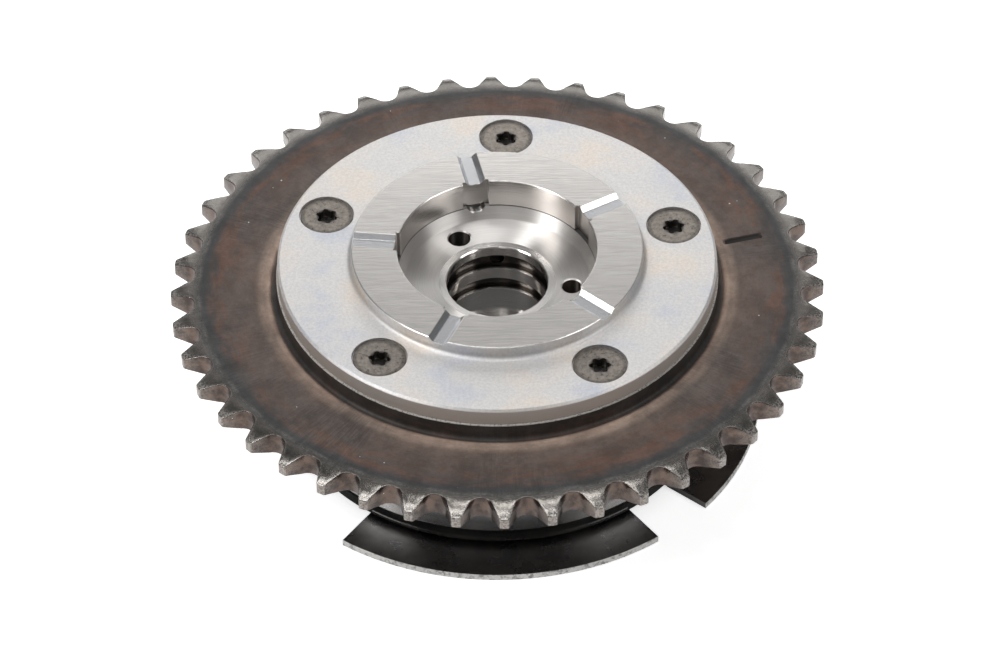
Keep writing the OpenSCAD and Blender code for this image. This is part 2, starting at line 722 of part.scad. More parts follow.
// Round wire wound along a helix, from z = 0 up to the given height
module coil(mean_r, wire_r, turns, height) {
    sides = 8;
    per_turn = 16;
    rings = turns * per_turn;
    points = [for (k = [0:rings]) for (s = [0:sides - 1])
        let (w = polar(wire_r, 360 * s / sides), a = 360 * k / per_turn, r = mean_r + w[0])
        [r * cos(a), r * sin(a), wire_r + (height - 2 * wire_r) * k / rings + w[1]]];
    walls = [for (k = [0:rings - 1]) for (s = [0:sides - 1])
        let (n = (s + 1) % sides)
        [k * sides + s, (k + 1) * sides + s, (k + 1) * sides + n, k * sides + n]];
    ends = [[for (s = [0:sides - 1]) s], [for (s = [sides - 1:-1:0]) rings * sides + s]];
    polyhedron(points, concat(walls, ends));
}

module lock_pin_spring() {
    outer = lock_pin_r - lock_wall - lock_spring_gap;
    base = lock_cup_z + seat_gap;
    height = plug_z - seat_gap - base;
    color("#9a9c9e")
    around(lock_r, lock_angle, base) coil(outer - lock_wire_r, lock_wire_r, lock_turns, height);
}

module lock_pin_plug() {
    color("#77797c")
    around(lock_r, lock_angle, plug_z)
    difference() {
        cylinder(r = lock_bore_r - seat_gap, h = plug_h);
        translate([0, 0, -cut]) cylinder(r = plug_vent_r, h = plug_h + 2 * cut);
    }
}

// Section of the sheet: flat crown, two equal bends, flat flange
module reluctor_section() {
    bend = acos(1 - joggle_h / (2 * bend_r));
    inner = bend_r - sheet_t / 2;
    outer = bend_r + sheet_t / 2;
    up_c = [lobe_flat_r - 2 * bend_r * sin(bend), crown_z - outer];
    down_c = [lobe_flat_r, outer];
    polygon(concat(
        [[nose_r + seat_gap, joggle_h], [nose_r + seat_gap, crown_z]],
        arc(up_c, outer, 90, 90 - bend),
        arc(down_c, inner, 270 - bend, 270),
        [[target_r, sheet_t], [target_r, 0]],
        arc(down_c, outer, 270, 270 - bend),
        arc(up_c, inner, 90 - bend, 90)
    ));
}

module reluctor() {
    color("#1d1d1f")
    intersection() {
        rotate_extrude() reluctor_section();
        union() {
            translate([0, 0, -cut]) cylinder(r = target_gap_r, h = crown_z + 2 * cut);
            for (k = [0:len(target_from) - 1])
                translate([0, 0, -cut]) linear_extrude(crown_z + 2 * cut)
                    wedge(target_r, target_from[k], target_from[k] + target_span[k]);
        }
    }
}

sprocket();
cam_side_cover();
stator();
front_plate();
cover_screws();
sprocket_dowel();
plate_dowel();
lock_seat_bush();
spring_anchor_pin();
rotor();
reluctor();
return_spring();
lock_pin();
lock_pin_spring();
lock_pin_plug();
for (i = [1:vane_count]) {
    lobe_seal(i);
    lobe_seal_spring(i);
    vane_seal(i);
    vane_seal_spring(i);
}
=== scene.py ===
import math

import bpy
import numpy as np
from mathutils import Matrix, Vector


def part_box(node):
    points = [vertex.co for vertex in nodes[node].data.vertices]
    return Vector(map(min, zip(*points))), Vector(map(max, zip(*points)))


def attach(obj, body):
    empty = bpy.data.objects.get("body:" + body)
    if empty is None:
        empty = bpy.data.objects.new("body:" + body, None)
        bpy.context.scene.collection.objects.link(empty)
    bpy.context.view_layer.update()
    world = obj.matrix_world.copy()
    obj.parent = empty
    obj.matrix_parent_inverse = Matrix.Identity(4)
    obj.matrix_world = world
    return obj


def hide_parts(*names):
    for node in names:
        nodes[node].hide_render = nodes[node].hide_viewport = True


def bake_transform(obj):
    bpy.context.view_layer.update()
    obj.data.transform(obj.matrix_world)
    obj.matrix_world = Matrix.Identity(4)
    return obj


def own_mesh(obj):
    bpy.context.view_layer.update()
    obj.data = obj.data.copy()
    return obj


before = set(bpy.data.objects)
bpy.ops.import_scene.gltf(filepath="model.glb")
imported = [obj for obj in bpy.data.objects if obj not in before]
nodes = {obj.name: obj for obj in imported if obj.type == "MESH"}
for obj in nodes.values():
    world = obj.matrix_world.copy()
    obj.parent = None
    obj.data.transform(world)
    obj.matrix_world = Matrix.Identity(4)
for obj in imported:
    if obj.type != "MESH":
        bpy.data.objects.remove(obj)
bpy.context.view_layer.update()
scene = bpy.context.scene
mm = 0.001
print("frame loaded:", len(nodes), "nodes")


# Camera: fitted to the tooth tips and the cover's edge, image 1000 x 664
photoCamera = dict(
    position=(0.00052, -0.83410, 0.80168),  # metres
    elevationDeg=43.22,
    rollDeg=0.305,
    lensMm=192.95,
    sensorMm=36.0,
    clip=(0.01, 50.0),  # metres
)


def makeCamera(look):
    data = bpy.data.cameras.new("photoCamera")
    data.lens = look["lensMm"]
    data.sensor_width = look["sensorMm"]
    data.clip_start, data.clip_end = look["clip"]
    camera = bpy.data.objects.new("photoCamera", data)
    scene.collection.objects.link(camera)
    tilt = Matrix.Rotation(math.radians(90 - look["elevationDeg"]), 4, "X")
    roll = Matrix.Rotation(math.radians(-look["rollDeg"]), 4, "Z")
    camera.matrix_world = Matrix.Translation(Vector(look["position"])) @ tilt @ roll
    scene.camera = camera


makeCamera(photoCamera)
print("camera placed")


# Mesh helpers: every shape below is an array of points first

def arc(centre, radius, fromDeg, toDeg, steps):
    # points on a circle: centre + radius * (cos a, sin a), a running evenly between two angles
    a = np.radians(np.linspace(fromDeg, toDeg, steps + 1))
    return np.stack([centre[0] + radius * np.cos(a), centre[1] + radius * np.sin(a)], 1)


def gridFaces(rows, columns, wrapRows=True):
    # quads between neighbours of a grid whose rows are rings; wrapRows joins the last row to the first
    i = np.arange(rows if wrapRows else rows - 1)[:, None]
    j = np.arange(columns)[None, :]
    nextI = (i + 1) % rows
    nextJ = (j + 1) % columns
    quads = [i * columns + j, nextI * columns + j, nextI * columns + nextJ, i * columns + nextJ]
    return np.stack(quads, -1).reshape(-1, 4)


def makePiece(name, points, faces, sharpDeg=32.0):
    mesh = bpy.data.meshes.new(name)
    mesh.from_pydata((np.asarray(points) * mm).tolist(), [], list(map(list, faces)))
    mesh.validate()
    mesh.shade_smooth()
    mesh.set_sharp_from_angle(angle=math.radians(sharpDeg))
    piece = bpy.data.objects.new(name, mesh)
    scene.collection.objects.link(piece)
    return piece


def sweepPiece(name, path, section, sharpDeg=32.0):
    # a closed section carried along a path, ends capped:
    # path point + sideways share * left normal + upright share * z
    ahead = np.gradient(path[:, :2], axis=0)
    ahead /= np.linalg.norm(ahead, axis=1)[:, None]
    left = np.column_stack([-ahead[:, 1], ahead[:, 0], np.zeros(len(path))])
    up = np.array([0.0, 0.0, 1.0])
    points = path[:, None, :] + section[None, :, :1] * left[:, None, :] + section[None, :, 1:] * up
    rows, columns = points.shape[:2]
    sides = gridFaces(rows, columns, wrapRows=False).tolist()
    caps = [list(range(columns)), list(range(rows * columns - 1, (rows - 1) * columns - 1, -1))]
    return makePiece(name, points.reshape(-1, 3), sides + caps, sharpDeg)


def setAttribute(piece, name, values):
    layer = piece.data.attributes.new(name, "FLOAT", "POINT")
    layer.data.foreach_set("value", np.asarray(values, np.float32).ravel())


def smoothstep(x, low, high):
    t = np.clip((x - low) / (high - low), 0, 1)
    return t * t * (3 - 2 * t)


# Shader helpers and the groups that the materials below share

def newGroup(name, inputs, outputs):
    group = bpy.data.node_groups.new(name, "ShaderNodeTree")
    for label, kind, value in inputs:
        socket = group.interface.new_socket(label, in_out="INPUT", socket_type=kind)
        if value is not None:
            socket.default_value = value
    for label, kind in outputs:
        group.interface.new_socket(label, in_out="OUTPUT", socket_type=kind)
    return group, group.nodes.new("NodeGroupInput"), group.nodes.new("NodeGroupOutput")


def setSocket(tree, socket, value):
    # numbers and colours are set on the socket, another node's output is linked to it
    if isinstance(value, (int, float)):
        socket.default_value = value
    elif isinstance(value, tuple):
        socket.default_value = (*value, 1)
    else:
        tree.links.new(value, socket)


def mathNode(tree, operation, a, b=None, clamp=False):
    node = tree.nodes.new("ShaderNodeMath")
    node.operation = operation
    node.use_clamp = clamp
    setSocket(tree, node.inputs[0], a)
    if b is not None:
        setSocket(tree, node.inputs[1], b)
    return node.outputs[0]


def rampNode(tree, fac, stops):
    node = tree.nodes.new("ShaderNodeValToRGB")
    node.color_ramp.interpolation = "EASE"
    while len(node.color_ramp.elements) < len(stops):
        node.color_ramp.elements.new(0.5)
    for element, (at, colour) in zip(node.color_ramp.elements, stops):
        element.position = at
        element.color = (*colour, 1) if hasattr(colour, "__len__") else (colour, colour, colour, 1)
    tree.links.new(fac, node.inputs[0])
    return node.outputs[0]


def mixColour(tree, fac, a, b, blend="MIX"):
    node = tree.nodes.new("ShaderNodeMix")
    node.data_type = "RGBA"
    node.blend_type = blend
    for index, value in ((0, fac), (6, a), (7, b)):  # the factor and the two colour sockets
        setSocket(tree, node.inputs[index], value)
    return node.outputs[2]


def shadeColour(tree, a, b):
    return mixColour(tree, 1.0, a, b, "MULTIPLY")


def mixValue(tree, fac, a, b):
    node = tree.nodes.new("ShaderNodeMix")
    for index, value in ((0, fac), (2, a), (3, b)):  # the factor and the two number sockets
        setSocket(tree, node.inputs[index], value)
    return node.outputs[0]


def noiseNode(tree, vector, scale, detail=4.0, rough=0.6):
    node = tree.nodes.new("ShaderNodeTexNoise")
    node.inputs["Detail"].default_value = detail
    node.inputs["Roughness"].default_value = rough
    tree.links.new(vector, node.inputs["Vector"])
    setSocket(tree, node.inputs["Scale"], scale)
    return node.outputs["Fac"]


def makeRingGroup():
    # object coordinates as a ring: radius and height in mm, and a vector that follows the ring
    group, start, end = newGroup(
        "ringCoordinates",
        [("Position", "NodeSocketVector", None)],
        [("Radius", "NodeSocketFloat"), ("Height", "NodeSocketFloat"), ("Around", "NodeSocketVector")],
    )
    perMetre = 1 / mm
    smallest = 0.001  # mm, keeps the division finite on the axis
    split = group.nodes.new("ShaderNodeSeparateXYZ")
    group.links.new(start.outputs[0], split.inputs[0])
    x, y, z = split.outputs
    square = mathNode(group, "ADD", mathNode(group, "MULTIPLY", x, x), mathNode(group, "MULTIPLY", y, y))
    radius = mathNode(group, "MULTIPLY", mathNode(group, "SQRT", square), perMetre)
    height = mathNode(group, "MULTIPLY", z, perMetre)
    inverse = mathNode(group, "DIVIDE", perMetre, mathNode(group, "MAXIMUM", radius, smallest))
    join = group.nodes.new("ShaderNodeCombineXYZ")  # unit circle, with radius plus height as the third axis
    group.links.new(mathNode(group, "MULTIPLY", x, inverse), join.inputs[0])
    group.links.new(mathNode(group, "MULTIPLY", y, inverse), join.inputs[1])
    group.links.new(mathNode(group, "ADD", radius, height), join.inputs[2])
    for socket, value in zip(end.inputs, (radius, height, join.outputs[0])):
        group.links.new(value, socket)
    return group


def makeGrainGroup():
    # drawn-out noise: the vector is stretched, then a noise and a finer one are averaged
    group, start, end = newGroup(
        "drawnGrain",
        [("Position", "NodeSocketVector", None), ("Stretch", "NodeSocketVector", (1, 1, 1)),
         ("Fineness", "NodeSocketFloat", 800.0)],
        [("Grain", "NodeSocketFloat"), ("Height", "NodeSocketFloat")],
    )
    finerBy = 3.1
    stretch = group.nodes.new("ShaderNodeVectorMath")
    stretch.operation = "MULTIPLY"
    group.links.new(start.outputs["Position"], stretch.inputs[0])
    group.links.new(start.outputs["Stretch"], stretch.inputs[1])
    coarse = noiseNode(group, stretch.outputs[0], start.outputs["Fineness"], detail=2.0, rough=0.5)
    finer = mathNode(group, "MULTIPLY", start.outputs["Fineness"], finerBy)
    fine = noiseNode(group, stretch.outputs[0], finer, detail=2.0, rough=0.6)
    grain = mathNode(group, "MULTIPLY", mathNode(group, "ADD", coarse, fine), 0.5)
    group.links.new(grain, end.inputs["Grain"])
    group.links.new(mathNode(group, "SUBTRACT", grain, 0.5), end.inputs["Height"])
    return group


def makeSpeckGroup():
    # scattered small spots: cells of a Voronoi pattern whose distance from the centre is under a size
    group, start, end = newGroup(
        "scatteredSpecks",
        [("Position", "NodeSocketVector", None), ("Fineness", "NodeSocketFloat", 600.0),
         ("Size", "NodeSocketFloat", 0.12), ("Share", "NodeSocketFloat", 0.2)],
        [("Specks", "NodeSocketFloat")],
    )
    cells = group.nodes.new("ShaderNodeTexVoronoi")
    group.links.new(start.outputs["Position"], cells.inputs["Vector"])
    group.links.new(start.outputs["Fineness"], cells.inputs["Scale"])
    split = group.nodes.new("ShaderNodeSeparateColor")
    group.links.new(cells.outputs["Color"], split.inputs[0])
    chosen = mathNode(group, "LESS_THAN", split.outputs[0], start.outputs["Share"])
    size = mathNode(group, "MULTIPLY", start.outputs["Size"], split.outputs[1])
    small = mathNode(group, "LESS_THAN", cells.outputs["Distance"], size)
    group.links.new(mathNode(group, "MULTIPLY", chosen, small), end.inputs["Specks"])
    return group


ringGroup = makeRingGroup()
grainGroup = makeGrainGroup()
speckGroup = makeSpeckGroup()
print("shader groups made")


class Finish:
    # one material under construction: its tree, its shader and its object coordinates
    def __init__(self, name, metallic=1.0, roughness=0.4, **constants):
        self.material = bpy.data.materials.new(name)
        self.material.use_nodes = True
        self.tree = self.material.node_tree
        self.shader = self.tree.nodes["Principled BSDF"]
        self.position = self.tree.nodes.new("ShaderNodeTexCoord").outputs["Object"]
        self.shader.inputs["Metallic"].default_value = metallic
        self.shader.inputs["Roughness"].default_value = roughness
        for label, value in constants.items():
            self.shader.inputs[label.replace("_", " ")].default_value = value

    def place(self, group, vector=None, **values):
        node = self.tree.nodes.new("ShaderNodeGroup")
        node.node_tree = group
        self.tree.links.new(self.position if vector is None else vector, node.inputs["Position"])
        for label, value in values.items():
            node.inputs[label].default_value = value
        return node

    def attribute(self, name):
        node = self.tree.nodes.new("ShaderNodeAttribute")
        node.attribute_name = name
        return node.outputs["Fac"]

    def feed(self, label, value):
        self.tree.links.new(value, self.shader.inputs[label])

    def bump(self, height, distance, edge=0.0):
        node = self.tree.nodes.new("ShaderNodeBump")
        node.inputs["Distance"].default_value = distance
        self.tree.links.new(height, node.inputs["Height"])
        if edge:  # broken edges that catch the light, in metres
            soft = self.tree.nodes.new("ShaderNodeBevel")
            soft.samples = 4
            soft.inputs["Radius"].default_value = edge
            self.tree.links.new(soft.outputs[0], node.inputs["Normal"])
        self.feed("Normal", node.outputs[0])

    def turned(self, anisotropic):
        # lathe lines run round the axis, so highlights spread along the radius
        node = self.tree.nodes.new("ShaderNodeTangent")
        node.direction_type = "RADIAL"
        node.axis = "Z"
        self.feed("Tangent", node.outputs[0])
        self.shader.inputs["Anisotropic"].default_value = anisotropic
        self.shader.inputs["Anisotropic Rotation"].default_value = 0.25  # a quarter turn


# Sprocket: 44 teeth with rounded side relief, collar on a relief groove, coined timing mark
sprocketForm = dict(
    # mm and degrees
    teeth=44, pitch=9.525, bush=5.18, lean=26.5, tip=2.45, tipRound=0.35, edge=0.16, toothPhase=1.0,
    web=5.35, relief=9.5, reliefDrop=1.35, fall=0.01, land=61.0, rootMargin=0.2,
    collar=3.45, collarR=46.7, collarFillet=0.8, grooveDepth=0.4, grooveWidth=0.2, ridge=2.4,
    boreR=43.02, edgeBreak=0.2, edgeMargin=0.1,
    markAngle=14.7, markGap=1.1, markLength=8.4, markRound=0.85, markDepth=0.7, markMargin=0.4,
    markStart=(-0.1, 0.2), markEnd=(-0.5, 0.1), fineColumns=1.8,
    # shares of bare metal: along the lower and the upper edge of the teeth, then at single places
    lowWear=(0.4, 0.6, 0.4, 0.0), topWear=(0.0, 0.4, 0.8, 0.7),
    # the collar's share puts bare metal on its top edge, pushed past full so that the edge shows as a bright
    # line: bare metal with a painted highlight
    landWear=0.6, tipWear=0.9, gapWear=0.35, leastRub=0.12, collarEdgeBareAndHighlight=2.2,
    # mm: where bare metal starts and is full below the tips, where it fades at the roots, depth at which the
    # timing mark is fully darkened
    landFade=(0.5, 0.1), rubFade=(3.6, 0.8), gapFade=2.5, rootFade=(-0.3, 1.5), darkeningDepth=(0.05, 0.35),
    tipReach=0.6,  # share of the relief's width
)


def toothOutline(form):
    # half a gap is an arc, a straight flank and a curved tip corner;
    # with its mirror image it makes one pitch, which is repeated round the ring
    pitchR = form["pitch"] / (2 * math.sin(math.pi / form["teeth"]))
    seat = form["bush"] / 2
    lean = math.radians(form["lean"])
    tipR = pitchR + form["tip"]
    half = math.pi / form["teeth"]
    seatArc = arc((pitchR, 0), seat, 180, 90 + form["lean"], 7)
    along = np.array([math.cos(lean), math.sin(lean)])
    foot = seatArc[-1]
    b = foot @ along
    reach = -b + math.sqrt(b * b - foot @ foot + tipR * tipR)
    corner = foot + reach * along
    cornerAngle = math.atan2(corner[1], corner[0])
    r = form["tipRound"]
    before = corner - r * along
    after = tipR * np.array([math.cos(cornerAngle + r / tipR), math.sin(cornerAngle + r / tipR)])
    t = np.linspace(0, 1, 5)[:, None]
    bend = (1 - t) ** 2 * before + 2 * t * (1 - t) * corner + t ** 2 * after
    middle = tipR * np.array([[math.cos(half), math.sin(half)]])
    halfGap = np.concatenate([seatArc, bend, middle])
    mirrored = halfGap[1:-1][::-1] * (1, -1)
    onePitch = np.concatenate([mirrored, halfGap])
    turns = math.radians(form["toothPhase"]) + half + 2 * half * np.arange(form["teeth"])
    c, s = np.cos(turns)[:, None], np.sin(turns)[:, None]
    x = c * onePitch[None, :, 0] - s * onePitch[None, :, 1]
    y = s * onePitch[None, :, 0] + c * onePitch[None, :, 1]
    return np.stack([x, y], -1).reshape(-1, 2), tipR


def refineNear(outline, angleDeg, reachDeg):
    # more points near an angle, at even shares of the steps between the others
    turn = np.arctan2(outline[:, 1], outline[:, 0]) - math.radians(angleDeg)
    near = np.flatnonzero(np.abs(turn) < math.radians(reachDeg))
    between = (near[:, None] + np.arange(1, 6) / 6).ravel()
    steps = np.sort(np.concatenate([np.arange(len(outline)), between]))
    return np.stack([np.interp(steps, np.arange(len(outline)), outline[:, i]) for i in (0, 1)], 1)


def markDepths(form, r, turn, markFrom, markTo):
    # a round groove along the radius: the depth follows the circle of its section and runs out at both ends
    across = r * np.sin(turn)
    chord = np.sqrt(np.clip(form["markRound"] ** 2 - across ** 2, 0, None))
    cut = chord - form["markRound"] + form["markDepth"]
    begun = smoothstep(r, *(markFrom + np.array(form["markStart"])))
    over = smoothstep(r, *(markTo + np.array(form["markEnd"])))
    return np.clip(cut, 0, None) * (np.cos(turn) > 0) * (begun * (1 - over))


def makeSprocket(form):
    # a closed section carried round the axis: tooth wall, upper side, mark, ridge, collar, bore, lower side
    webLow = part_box("sprocket")[0][2] / mm
    webTop = webLow + form["web"]
    collarTop = webTop + form["collar"]
    outline, tipR = toothOutline(form)
    outline = refineNear(outline, form["markAngle"], form["fineColumns"])
    ahead = np.roll(outline, -1, 0) - np.roll(outline, 1, 0)
    outward = np.stack([ahead[:, 1], -ahead[:, 0]], 1)
    outward /= np.linalg.norm(outward, axis=1)[:, None]
    reach = math.sqrt(2 * form["relief"] * form["reliefDrop"] - form["reliefDrop"] ** 2)

    def drop(r):
        # side relief of the teeth: a circle tangent to the web, on a faint fall of the web's edge
        past = np.clip(r - (tipR - reach), 0, reach)
        fall = form["fall"] * np.clip(r - form["land"], 0, tipR - reach - form["land"]) ** 2
        return form["relief"] - np.sqrt(form["relief"] ** 2 - past ** 2) + fall

    edge = form["edge"]
    inner = outline - edge * outward
    innerR = np.hypot(inner[:, 0], inner[:, 1])
    unit = inner / innerR[:, None]
    rings, bare, wall, darkening = [], [], [], []

    def add(points, z, bareShareAndHighlight, wallShare=0.0, darkeningShare=0.0):
        rings.append(np.column_stack([points, np.broadcast_to(z, len(points))]))
        for shares, value in ((bare, bareShareAndHighlight), (wall, wallShare), (darkening, darkeningShare)):
            shares.append(np.broadcast_to(value, len(points)))

    # tooth wall from the lower side up; the chain rubs the edges bright towards the tips
    outlineR = np.hypot(outline[:, 0], outline[:, 1])
    tipLand, rubbed = (smoothstep(outlineR, *(tipR - np.array(form[k]))) for k in ("landFade", "rubFade"))
    chainRub = form["leastRub"] + (1 - form["leastRub"]) * rubbed

    def addEdge(angles, wear, z, side):
        # a quarter circle from the flat side, a = 0, to the wall: inwards by 1 - sin a, along z by 1 - cos a
        for a, rub in zip(np.radians(angles), wear):
            share = np.maximum(rub * chainRub, form["landWear"] * tipLand)
            rounded = outline - edge * (1 - np.sin(a)) * outward
            add(rounded, z + side * edge * (1 - np.cos(a)), share, np.sin(a))

    addEdge((0, 30, 60, 90), form["lowWear"], webLow + drop(innerR), 1)
    addEdge((90, 60, 30, 0), form["topWear"], webTop - drop(innerR), -1)
    # over the teeth to the circle below their roots, along straight lines, then by full circles to the web
    rootR = innerR.min() - form["rootMargin"]
    gapBottom = 1 - smoothstep(innerR, rootR, rootR + form["gapFade"])

    def toothWear(r, f):
        # most at the tips, with a faint border along the edge of each gap
        atTip = smoothstep(r, tipR - form["tipReach"] * reach, tipR)
        return np.maximum(form["tipWear"] * atTip, form["gapWear"] * (1 - smoothstep(f, 0.0, 0.5)))

    for f in np.linspace(0, 1, 11)[1:]:
        r = innerR + f * (rootR - innerR)
        add(unit * r[:, None], webTop - drop(r), toothWear(r, f))
    for r in np.linspace(rootR, form["land"], 5)[1:-1]:
        fading = 1 - smoothstep(rootR - r, *form["rootFade"])
        add(unit * r, webTop - drop(r), form["gapWear"] * gapBottom * fading)
    grooveZ = webTop - form["grooveDepth"]
    fillet = (form["collarR"] + form["collarFillet"], grooveZ + form["collarFillet"])
    rise = math.degrees(math.acos(1 - form["grooveDepth"] / form["ridge"]))
    ridgeR = fillet[0] + form["grooveWidth"] + form["ridge"] * math.sin(math.radians(rise))
    markFrom = ridgeR + form["markGap"]
    markTo = markFrom + form["markLength"]
    turn = np.arctan2(unit[:, 1], unit[:, 0]) - math.radians(form["markAngle"])
    markRows = np.linspace(markTo + form["markMargin"], markFrom - form["markMargin"], 23)
    # the timing mark grows darker with its depth
    for r in np.concatenate([[form["land"]], markRows]):
        depth = markDepths(form, r, turn, markFrom, markTo)
        add(unit * r, webTop - depth, 0.0, 0.0, smoothstep(depth, *form["darkeningDepth"]))
    breakZ = collarTop - form["edgeBreak"]
    section = np.concatenate([
        arc((ridgeR, webTop - form["ridge"]), form["ridge"], 90, 90 + rise, 7),
        arc(fillet, form["collarFillet"], 270, 180, 6),
        [[form["collarR"], breakZ - form["edgeMargin"]]],
        arc((form["collarR"] - form["edgeBreak"], breakZ), form["edgeBreak"], 0, 90, 3),
        [[form["boreR"], collarTop], [form["boreR"], webLow], [form["land"], webLow]],
        [[rootR, webLow + drop(rootR)]],
    ])
    # the collar's top edge gets bare metal pushed past full: partly wear, partly a painted highlight of the
    # edge
    for r, z in section:
        onEdge = z > breakZ - form["edgeMargin"] / 2 and r > form["boreR"]
        add(unit * r, z, form["collarEdgeBareAndHighlight"] * onEdge)
    for f in np.linspace(1, 0, 7)[1:-1]:
        r = innerR + f * (rootR - innerR)
        add(unit * r[:, None], webLow + drop(r), toothWear(r, f))
    points = np.stack(rings, 0)
    outwardFaces = gridFaces(*points.shape[:2])[:, ::-1]
    piece = makePiece("sprocketBody", points.reshape(-1, 3), outwardFaces)
    for name, shares in (("bareSteelAndEdgeHighlight", bare), ("toothWall", wall), ("markDarkening", darkening)):
        setAttribute(piece, name, np.stack(shares, 0))
    return piece


sprocketLook = dict(
    fromRadius=46.0, span=24.0,  # mm: bands, rings, metallic and roughness go by shares of this stretch
    # by share of the stretch: at 0.06 painted shade on the collar's wall and groove, at 0.1 and 0.15 a
    # painted highlight on the ridge; the rest is the oxide's own tone and heat tint
    bandsAndPaintedLight=[
        (0.06, (0.045, 0.041, 0.038)), (0.1, (0.46, 0.34, 0.275)), (0.15, (0.31, 0.235, 0.19)),
        (0.24, (0.14, 0.108, 0.093)), (0.45, (0.104, 0.081, 0.071)), (0.68, (0.056, 0.055, 0.055)),
        (0.8, (0.18, 0.168, 0.155)),
    ],
    rustRing=[(0.3, 0.3), (0.52, 1.0), (0.6, 1.0), (0.67, 0.0)], coolRing=[(0.28, 1.0), (0.62, 0.35)],
    metallic=[(0.68, 0.15), (0.8, 0.95)], roughness=[(0.55, 0.46), (0.8, 0.22)],
    flank=[(0.35, (0.06, 0.047, 0.042)), (0.65, (0.13, 0.096, 0.08))],
    rust=(0.135, 0.076, 0.056), cool=(0.07, 0.067, 0.065), bare=(0.5, 0.475, 0.445),
    darkening=(0.035, 0.032, 0.03), dust=(0.6, 0.58, 0.55),
    specular=0.15, coolShare=0.55, bareMatt=0.6, pitDepth=0.6,
)


def sprocketFinish(look):
    # dark oxide, scaly on the web, smoother and blacker towards the teeth, bare metal where the chain rubs
    finish = Finish("heatTintedSteel", Specular_IOR_Level=look["specular"])
    tree = finish.tree
    ring = finish.place(ringGroup)
    around = ring.outputs["Around"]
    beyond = mathNode(tree, "SUBTRACT", ring.outputs["Radius"], look["fromRadius"])
    share = mathNode(tree, "DIVIDE", beyond, look["span"])
    blotch = finish.place(grainGroup, around, Stretch=(1.6, 1.6, 0.09), Fineness=2.4)
    rust = rampNode(tree, blotch.outputs["Grain"], [(0.42, 0.0), (0.64, 0.8)])
    rusty = mathNode(tree, "MULTIPLY", rust, rampNode(tree, share, look["rustRing"]))
    # the bands hold a painted highlight on the ridge beside the collar and painted shade on the collar's
    # wall and groove
    warm = mixColour(tree, rusty, rampNode(tree, share, look["bandsAndPaintedLight"]), look["rust"])
    coolNoise = noiseNode(tree, finish.position, scale=38.0, detail=3.0)
    cool = rampNode(tree, coolNoise, [(0.48, 0.0), (0.66, 1.0)])
    onWeb = mathNode(tree, "MULTIPLY", cool, rampNode(tree, share, look["coolRing"]))
    mixed = mixColour(tree, mathNode(tree, "MULTIPLY", onWeb, look["coolShare"]), warm, look["cool"])
    grain = finish.place(grainGroup, around, Stretch=(14.0, 14.0, 0.6), Fineness=3.0)
    scratches = finish.place(grainGroup, around, Stretch=(45.0, 45.0, 0.06), Fineness=3.0)
    scale = rampNode(tree, grain.outputs["Grain"], [(0.3, 0.92), (0.7, 1.09)])
    combed = rampNode(tree, scratches.outputs["Grain"], [(0.32, 0.82), (0.68, 1.22)])
    stainNoise = noiseNode(tree, finish.position, scale=170.0, detail=6.0, rough=0.72)
    stains = rampNode(tree, stainNoise, [(0.32, 0.8), (0.68, 1.2)])
    lighter = shadeColour(tree, shadeColour(tree, mixed, scale), stains)
    lighter = mixColour(tree, cool, lighter, shadeColour(tree, lighter, combed))
    pits = noiseNode(tree, finish.position, scale=2400.0, detail=3.0, rough=0.7)
    patches = noiseNode(tree, finish.position, scale=420.0, detail=3.0)
    flank = mixColour(tree, finish.attribute("toothWall"), lighter, rampNode(tree, patches, look["flank"]))
    betweenPits = rampNode(tree, pits, [(0.36, 0.1), (0.6, 1.0)])
    # bare metal where the chain rubs, and on the collar's top edge a painted highlight
    wornAndEdgeHighlight = mathNode(tree, "MULTIPLY", finish.attribute("bareSteelAndEdgeHighlight"), betweenPits)
    bareColour = mixColour(tree, wornAndEdgeHighlight, flank, look["bare"])
    # the timing mark is darker with its depth
    darkenedMark = mixColour(tree, finish.attribute("markDarkening"), bareColour, look["darkening"])
    dust = finish.place(speckGroup, Fineness=600.0, Size=0.11, Share=0.06)
    finish.feed("Base Color", mixColour(tree, dust.outputs["Specks"], darkenedMark, look["dust"]))
    matt = mathNode(tree, "MULTIPLY", wornAndEdgeHighlight, look["bareMatt"])
    onTeeth = rampNode(tree, share, look["metallic"])
    finish.feed("Metallic", mathNode(tree, "SUBTRACT", onTeeth, matt, clamp=True))
    smooth = rampNode(tree, share, look["roughness"])
    finish.feed("Roughness", mathNode(tree, "MULTIPLY", smooth, scale))
    pitted = mathNode(tree, "MULTIPLY", pits, look["pitDepth"])
    finish.bump(mathNode(tree, "ADD", grain.outputs["Height"], pitted), distance=0.03 * mm)
    return finish.material


sprocket = makeSprocket(sprocketForm)
sprocket.data.materials.append(sprocketFinish(sprocketLook))
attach(sprocket, "housing")
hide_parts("sprocket")
print("sprocket made:", len(sprocket.data.polygons), "faces")


# Finishes of the CAD nodes

def dress(material, *names):
    for name in names:
        slots = nodes[name].data.materials
        slots.clear()
        slots.append(material)


coverLook = dict(
    rim=(0.73, 0.715, 0.705), boss=(0.72, 0.695, 0.67), bore=(0.62, 0.59, 0.565), wall=(0.66, 0.615, 0.58),
    # seam: a dark line at the bottom of the bore, painted shade of the gap together with dirt
    groove=(0.6, 0.605, 0.62), seam=(0.04, 0.037, 0.035), roughness=0.54, cutRoughness=0.25,
    clouds=[(0.3, (0.84, 0.88, 0.96)), (0.5, (0.97, 0.97, 0.97)), (0.7, (1.04, 0.985, 0.92))],
    speckle=[(0.3, 0.9), (0.7, 1.09)], brushing=[(0.32, 0.87), (0.68, 1.11)], brushDepth=0.04,
    # heights and radii in mm that part the regions
    bossHeight=42.1, bossRadius=30.7, grooveHeight=40.9, boreRadius=21.9, wallRadius=46.3, seamHeight=35.6,
)


